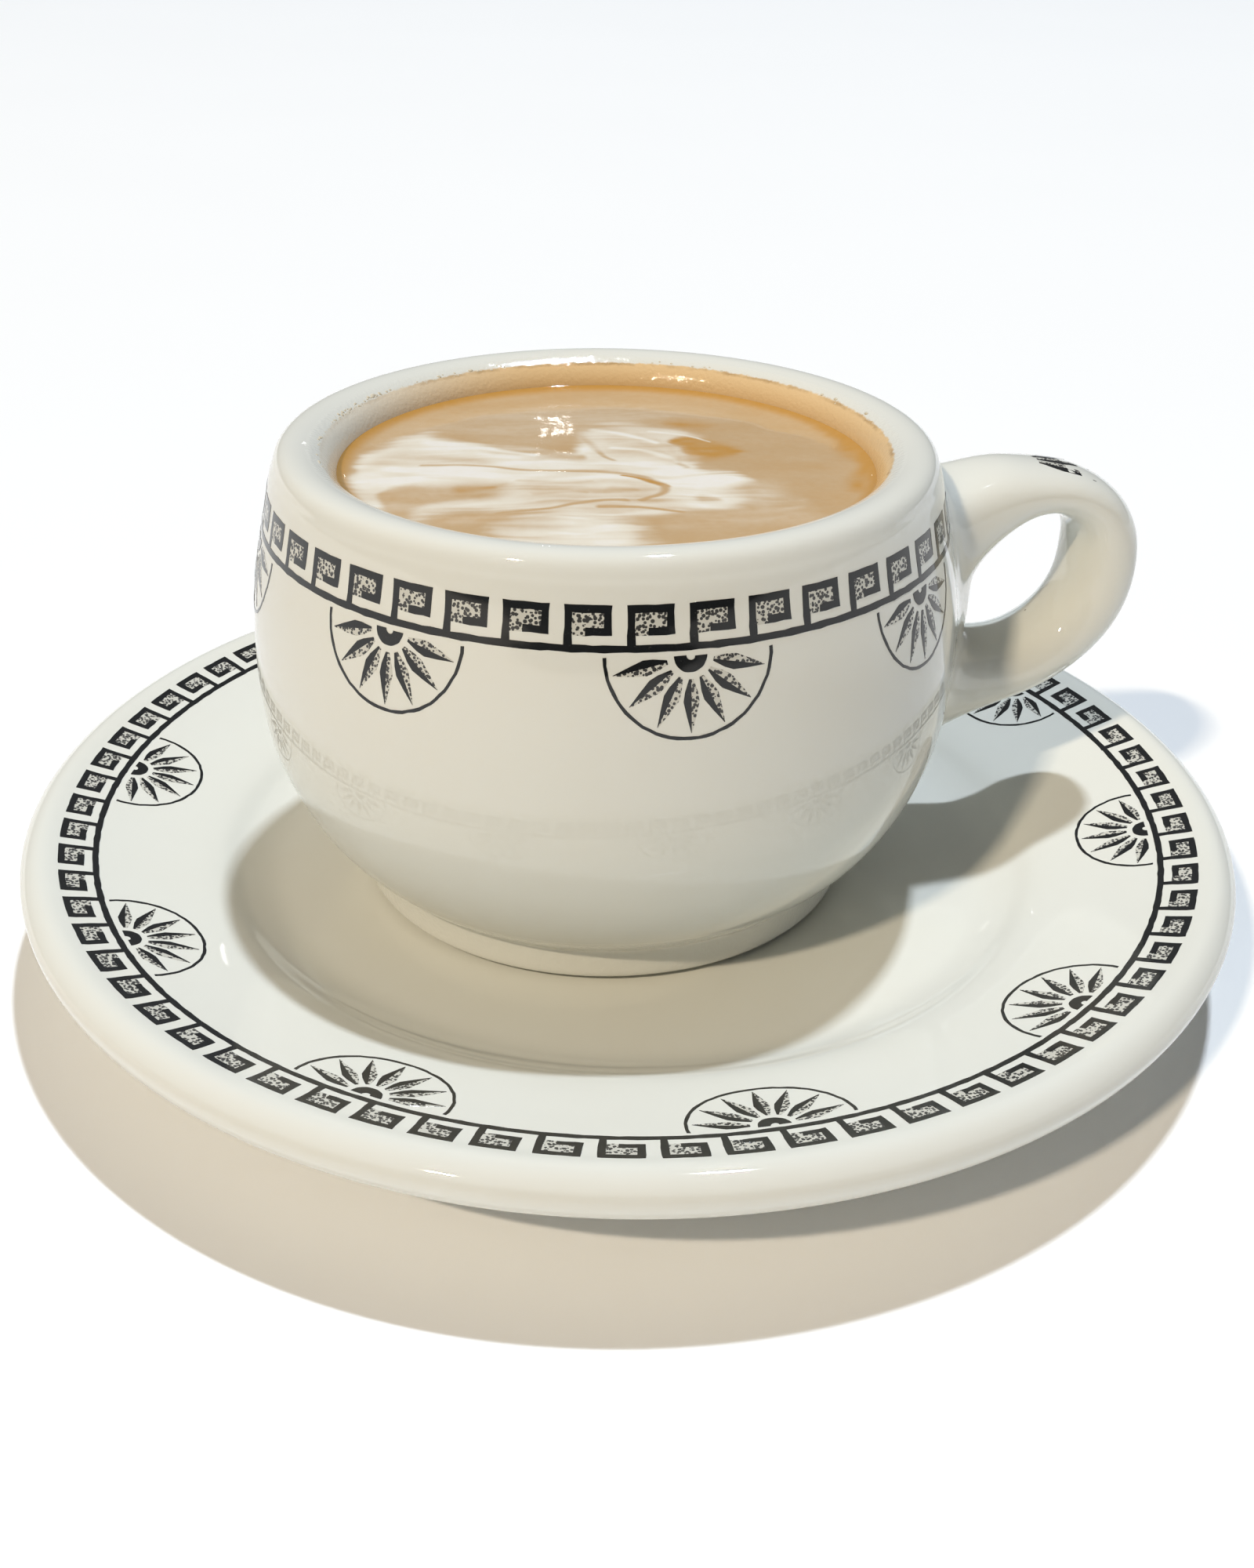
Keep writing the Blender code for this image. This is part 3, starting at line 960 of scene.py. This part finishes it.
# Strokes over them: the path, its half width at both ends, how soft its edge is, and shares.
STROKES = [
    ([(-26, 2.6), (-20, 3), (-15, 1.2)], 2.6, 1.4, 0.95, 0.62, 0.0),
    ([(-14, 4.2), (-8, 2.7), (-2, 2.3), (4, 1.4), (9.5, -1.2)], 1.5, 1.0, 0.95, 1.0, 0.0),
    ([(-20, -3.6), (-12, -2.7), (-4, -2.9), (1, -3.4)], 0.9, 0.5, 0.95, 0.95, 0.0),
    ([(-28, -1), (-27, -6), (-25.5, -12)], 1.2, 1.0, 0.95, 0.86, 0.0),
    (
        [(-21.3, 0.7), (-13.9, -0.1), (-5.3, -0.8), (0.3, -1.2), (4, -3.2), (6.4, -5.8)],
        0.28, 0.75, 0.9, 0.24, 0.3,
    ),
    ([(1.5, -2.8), (5, -4.7), (6.9, -6.4)], 0.35, 0.6, 0.8, 0.05, 0.95),
    ([(6.7, -6.5), (6.3, -8.6), (3.7, -11.2)], 0.6, 0.3, 0.9, 0.16, 0.5),
    ([(-12.6, 6.6), (-7.4, 4.6), (-2.9, 3.7)], 2.1, 0.8, 0.95, 0.3, 0.1),
    ([(-3.2, 11.6), (-1, 6), (0.7, 2.6)], 0.6, 0.35, 0.95, 0.4, 0.05),
    ([(0.2, 8.7), (3.6, 10.1), (6.7, 5.1), (9.2, 0.5)], 0.5, 0.5, 0.95, 0.44, 0.05),
    ([(4, 13), (7.6, 8.8), (8.4, 4.2)], 0.5, 0.7, 0.95, 0.44, 0.06),
    ([(6, 13.6), (10.5, 12.2), (13.4, 9.4)], 0.35, 0.2, 0.95, 0.8, 0.0),
    ([(10.4, -10.4), (12.4, -10.8)], 1.1, 0.7, 0.95, 0.5, 0.05),
    ([(0.6, -7.6), (3.2, -8)], 0.8, 0.5, 0.95, 0.48, 0.12),
    ([(-20, -13.6), (-14, -12.6), (-9, -10.6)], 0.9, 0.6, 0.9, 0.62, 0.1),
    ([(-12, -15), (-5, -12.2), (2, -11.6)], 0.35, 0.5, 0.95, 0.12, 0.3),
    ([(-1, -13.6), (3.5, -13.8), (7, -15)], 0.45, 0.4, 0.95, 0.1, 0.55),
    ([(-17, -7.2), (-13.4, -6.4)], 1.1, 0.6, 0.95, 0.08, 0.55),
    ([(-24.6, -8.6), (-23.6, -13)], 0.9, 0.9, 0.95, 0.3, 0.25),
    ([(-22, 9.6), (-15, 6.4), (-9, 4.6)], 0.7, 0.5, 0.95, 0.95, 0.0),
    ([(-1, 14.4), (3, 12.6), (6, 9)], 0.7, 0.5, 0.95, 0.88, 0.0),
    ([(1, 6.4), (4.6, 6), (8.2, 2.4)], 0.6, 0.5, 0.95, 0.86, 0.0),
    ([(-10, -4.6), (-5, -5.4), (-2, -5.2)], 0.6, 0.3, 0.95, 0.55, 0.2),
    ([(-9, -8.8), (-4, -8.4), (-2, -9)], 0.5, 0.3, 0.95, 0.5, 0.25),
    ([(17, -8), (19, -14)], 3.4, 3.4, 0.95, 0.34, 0.02),
    ([(8, -16), (16, -15), (22, -12)], 1.2, 1.0, 0.95, 0.24, 0.1),
    ([(28, 13), (30, 6), (30.4, 0), (28.6, -8)], 1.7, 1.3, 0.95, 0.0, 0.7),
    ([(7, -19), (13, -17), (21, -17)], 2.4, 2.6, 0.95, 0.22, 0.18),
]


def rounded(points, closed):
    """The path with its corners cut twice."""
    path = np.array(points, dtype=float)
    for _ in range(2):
        after = np.roll(path, -1, axis=0)
        cut = np.stack([0.75 * path + 0.25 * after, 0.25 * path + 0.75 * after], axis=1)
        cut = cut.reshape(-1, 2)
        path = cut if closed else np.concatenate([path[:1], cut[1:-3], path[-1:]])
    return path.tolist()


def patch_depth(x, y, outline):
    """The distance from a closed outline, positive inside it."""
    nearest = np.full(x.shape, 1e9)
    inside = np.zeros(x.shape, dtype=bool)
    for (ax, ay), (bx, by) in zip(outline, outline[1:] + outline[:1]):
        t = ((x - ax) * (bx - ax) + (y - ay) * (by - ay)) / ((bx - ax) ** 2 + (by - ay) ** 2)
        t = np.clip(t, 0.0, 1.0)
        nearest = np.minimum(nearest, np.hypot(x - ax - t * (bx - ax), y - ay - t * (by - ay)))
        if ay != by:
            crossing = ax + (y - ay) * (bx - ax) / (by - ay)
            inside ^= ((ay > y) != (by > y)) & (x < crossing)
    return np.where(inside, nearest, -nearest)


def path_distance(x, y, path, start_width, end_width):
    """The distance from a bent path as a share of the path's half width there."""
    lengths = [math.dist(a, b) for a, b in zip(path, path[1:])]
    nearest = np.full(x.shape, 1e9)
    done = 0.0
    for (ax, ay), (bx, by), length in zip(path, path[1:], lengths):
        t = ((x - ax) * (bx - ax) + (y - ay) * (by - ay)) / length**2
        t = np.clip(t, 0.0, 1.0)
        gone = (done + t * length) / sum(lengths)
        width = start_width + (end_width - start_width) * gone
        distance = np.hypot(x - ax - t * (bx - ax), y - ay - t * (by - ay)) / width
        nearest = np.minimum(nearest, distance)
        done += length
    return nearest


def smooth(value, start, end):
    t = np.clip((value - start) / (end - start), 0.0, 1.0)
    return t * t * (3 - 2 * t)


# The noise that breaks the swirls up, as (width and depth of its cells, shift of its plan).
WARP_SLOW_X = ((8, 5), (0, 0))
WARP_SLOW_Y = ((8, 6), (9, 4))
WARP_FINE_X = ((3, 1.8), (0, 0))
WARP_FINE_Y = ((3.4, 1.9), (7, 0))
FOAM_HAZE = ((6, 3), (0, 0))
CREMA_HAZE = ((5, 3), (0, 0))
THREAD_BEND = ((7, 4), (0, 0))
THREADS_BROAD = ((8, 1.3), (3, 0))
THREADS_THIN = ((5, 0.6), (0, 0))
EDGE_SPREAD = ((5, 5), (2, 0))
FOAM_CLOUDS = ((4, 2.2), (3, 0))
CREMA_CLOUDS = ((3.5, 1.8), (8, 0))
CREMA_GRAIN = ((1.7, 1.1), (5, 0))
RING = (0.5, 2.3)  # distances from the edge between which the ring of crema fades


def swirls(x, y, edge):
    """The foam and crema shares at points of the drink's plan; edge is the drink's radius."""
    slow, fine, streak = Clouds(11), Clouds(23), Clouds(5)
    turn = math.radians(SWIRL_TURN)
    from_edge = edge - np.hypot(x, y)
    x, y = x * math.cos(turn) - y * math.sin(turn), x * math.sin(turn) + y * math.cos(turn)
    u = x + 0.9 * slow.at(x, y, WARP_SLOW_X) + 0.35 * fine.at(x, y, WARP_FINE_X)
    v = y + 0.7 * slow.at(x, y, WARP_SLOW_Y) + 0.3 * fine.at(x, y, WARP_FINE_Y)
    foam = 0.07 + 0.05 * slow.at(x, y, FOAM_HAZE)
    crema = 0.1 + 0.1 * fine.at(x, y, CREMA_HAZE)
    bend = v + 0.9 * slow.at(u, v, THREAD_BEND)
    threads = 0.6 * streak.at(u, bend, THREADS_BROAD) + 0.4 * streak.at(u, bend, THREADS_THIN)
    spread = 1.8 + 0.9 * slow.at(u, v, EDGE_SPREAD)
    for outline, softness, foam_share, crema_share in PATCHES:
        depth = patch_depth(u, v, rounded(outline, True)) + 0.7 * threads
        cover = smooth(depth, -softness * spread, softness * spread)
        foam = foam + (foam_share - foam) * cover
        crema = crema + (crema_share - crema) * cover
    for path, start_width, end_width, softness, foam_share, crema_share in STROKES:
        distance = path_distance(u, v, rounded(path, False), start_width, end_width)
        cover = 1 - smooth(distance, 1 - softness, 1 + softness * 0.6)
        foam = foam + (foam_share - foam) * cover
        crema = crema + (crema_share - crema) * cover
    uneven = 0.3 * threads + 0.16 * slow.at(u, v, FOAM_CLOUDS)
    foam = foam + uneven * smooth(foam, 0.1, 0.45)
    clouds = smooth(slow.at(u, v, CREMA_CLOUDS), 0.0, 0.8)
    crema = crema + 0.07 * clouds * smooth(foam, 0.2, 0.5)
    crema = crema * (1 + 0.35 * fine.at(u, v, CREMA_GRAIN))
    ring = 1 - smooth(from_edge, *RING)
    foam = foam * (1 - 0.92 * ring)
    crema = crema + (0.95 - crema) * ring
    return np.clip(foam, 0, 1), np.clip(crema, 0, 1)


def drink_section(wall):
    """Flat top with a raised edge that reaches into the wall, then down inside the wall."""
    edge_height = DRINK_LEVEL + MENISCUS_RISE
    edge = float(np.interp(edge_height, wall[:, 1], wall[:, 0])) + WALL_REACH
    radii = edge * np.linspace(0.0, 1.0, DRINK_RINGS + 1)
    heights = DRINK_LEVEL + MENISCUS_RISE * np.exp((radii - edge) / MENISCUS_WIDTH)
    top = np.stack([radii, heights], axis=1)
    down = wall[wall[:, 1] < DRINK_LEVEL - DRINK_SIDE_DROP][::-1]
    sides = down[down[:, 0] > DRINK_SIDE_END] + [WALL_REACH, -WALL_REACH]
    return np.concatenate([top, sides, [[0.0, sides[-1][1]]]]), edge


def build_drink():
    wall = cup_limit_section(1, len(CUP_INSIDE) + 2, DRINK_SPANS)
    section, edge = drink_section(wall)
    mesh = turned_mesh("drink_with_foam", section, DRINK_STEPS)
    count = len(mesh.vertices)
    places = np.zeros(count * 3)
    mesh.vertices.foreach_get("co", places)
    places = places.reshape(-1, 3) / MM
    foam, crema = swirls(places[:, 0], places[:, 1], edge)
    inside = smooth(edge - np.hypot(places[:, 0], places[:, 1]), *RELIEF_EDGE)
    on_top = places[:, 2] > DRINK_LEVEL - DRINK_TOP_DEPTH
    ripple = RIPPLE * Clouds(31).at(places[:, 0], places[:, 1], RIPPLE_CELLS)
    relief = RELIEF * (foam - RELIEF_MIDDLE) + ripple
    places[:, 2] += np.where(on_top, inside * relief, 0.0)
    mesh.vertices.foreach_set("co", (places * MM).ravel())
    for name, values in (("foam", foam), ("crema", crema)):
        mesh.attributes.new(name, "FLOAT", "POINT").data.foreach_set("value", values)
    piece = add_piece("drink_with_foam", mesh, drink_material(), CUP_PLACE)
    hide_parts("cafe_au_lait")


# Dried foam along the lip's inner edge: arcs in degrees with the number of beads on each.
RESIDUE_ARCS = [(99, 134, 34), (134, 157, 80), (157, 180, 20), (180, 190, 5), (43, 86, 16), (6, 30, 8)]
RESIDUE_RADIUS = 33.35
RESIDUE_HEIGHT = 54.81
RESIDUE_SEED = 8
BEAD_SIZE = (0.1, 0.27)
BEAD_INWARD = (-0.25, 0.35)
BEAD_FALL = 0.95  # how much lower a bead lies for each step inwards
BEAD_LENGTH = (0.8, 1.7)  # along the lip, in sizes
BEAD_THICKNESS = 0.7
BEAD_TILT = -45.0


def build_residue():
    """Tiny flattened beads of dried foam that follow the lip's inner edge."""
    draw = np.random.default_rng(RESIDUE_SEED)
    beads = bmesh.new()
    for start, end, count in RESIDUE_ARCS:
        for _ in range(count):
            angle = math.radians(draw.uniform(start, end))
            size = draw.uniform(*BEAD_SIZE)
            inward = draw.uniform(*BEAD_INWARD)
            radius = RESIDUE_RADIUS - inward
            height = RESIDUE_HEIGHT - BEAD_FALL * inward
            middle = Vector((radius * math.cos(angle), radius * math.sin(angle), height))
            place = Matrix.Translation(MM * middle)
            tilt = Matrix.Rotation(math.radians(BEAD_TILT), 4, "Y")
            turn = Matrix.Rotation(angle, 4, "Z") @ tilt
            length = size * draw.uniform(*BEAD_LENGTH)
            flat = Matrix.Diagonal((size * MM, length * MM, size * BEAD_THICKNESS * MM, 1.0))
            shape = place @ turn @ flat
            bmesh.ops.create_icosphere(beads, subdivisions=2, radius=1.0, matrix=shape)
    mesh = bpy.data.meshes.new("dried_foam")
    beads.to_mesh(mesh)
    beads.free()
    piece = add_piece("dried_foam", mesh, residue_material(), CUP_PLACE)


def build_floor():
    mesh = bpy.data.meshes.new("floor")
    half = FLOOR_HALF_WIDTH
    corners = [(-half, -half, 0), (half, -half, 0), (half, half, 0), (-half, half, 0)]
    mesh.from_pydata(corners, [], [(0, 1, 2, 3)])
    mesh.materials.append(floor_material())
    floor = bpy.data.objects.new("floor", mesh)
    bpy.context.scene.collection.objects.link(floor)


def area_light(name, azimuth, elevation, distance, size, power, colour):
    """A rectangular light at that direction from the cup and aimed at it."""
    data = bpy.data.lights.new(name, "AREA")
    data.shape = "RECTANGLE"
    data.size, data.size_y = size
    data.energy = power
    data.color = colour
    light = bpy.data.objects.new(name, data)
    turn, rise = math.radians(azimuth), math.radians(elevation)
    level = math.cos(rise)
    towards = Vector((math.cos(turn) * level, math.sin(turn) * level, math.sin(rise)))
    light.location = towards * distance + LIGHT_AIM
    light.rotation_euler = towards.to_track_quat("Z", "Y").to_euler()
    bpy.context.scene.collection.objects.link(light)


def build_lights():
    for name, settings in KEY_LIGHTS.items():
        area_light(name, *settings)
    for number, azimuth in enumerate(BACK_LAMPS):
        area_light("back_lamp_%d" % number, azimuth, *BACK_LAMP)


def build_room():
    world = bpy.data.worlds.new("pale_room")
    world.use_nodes = True
    tree = world.node_tree
    seen = node(tree, "TexCoord").outputs["Generated"]
    share = step_up(tree, reach_along(tree, seen, ROOM_DIM_SIDE), *ROOM_SIDES)
    colour = blend_colour(tree, share, ROOM_BRIGHT, ROOM_DIM)
    looked_at = node(tree, "LightPath").outputs["Is Camera Ray"]
    colour = blend_colour(tree, looked_at, colour, ROOM_SEEN)
    tree.links.new(colour, tree.nodes["Background"].inputs["Color"])
    bpy.context.scene.world = world
    bpy.context.scene.view_settings.view_transform = "Standard"


def build_camera():
    data = bpy.data.cameras.new("photo_view")
    data.lens = CAMERA_LENS
    data.sensor_width = SENSOR_WIDTH
    data.clip_start = CAMERA_NEAR
    camera = bpy.data.objects.new("photo_view", data)
    turn = Matrix.Rotation(math.radians(-CAMERA_TURN), 4, "Z")
    dip = Matrix.Rotation(math.radians(90 - CAMERA_DIP), 4, "X")
    roll = Matrix.Rotation(math.radians(CAMERA_ROLL), 4, "Z")
    camera.matrix_world = Matrix.Translation(Vector(CAMERA_PLACE) * MM) @ turn @ dip @ roll
    bpy.context.scene.collection.objects.link(camera)
    bpy.context.scene.camera = camera


def main():
    build_camera()
    build_lights()
    build_room()
    build_floor()
    glaze, ink, stipple = plain_glaze(), ink_material(), stipple_material()
    build_saucer(glaze)
    cup = build_cup(cup_glaze())
    build_drink()
    print_cup(ink, stipple)
    print_saucer(ink, stipple)
    print_handle(cup, ink, stipple)
    build_residue()


main()
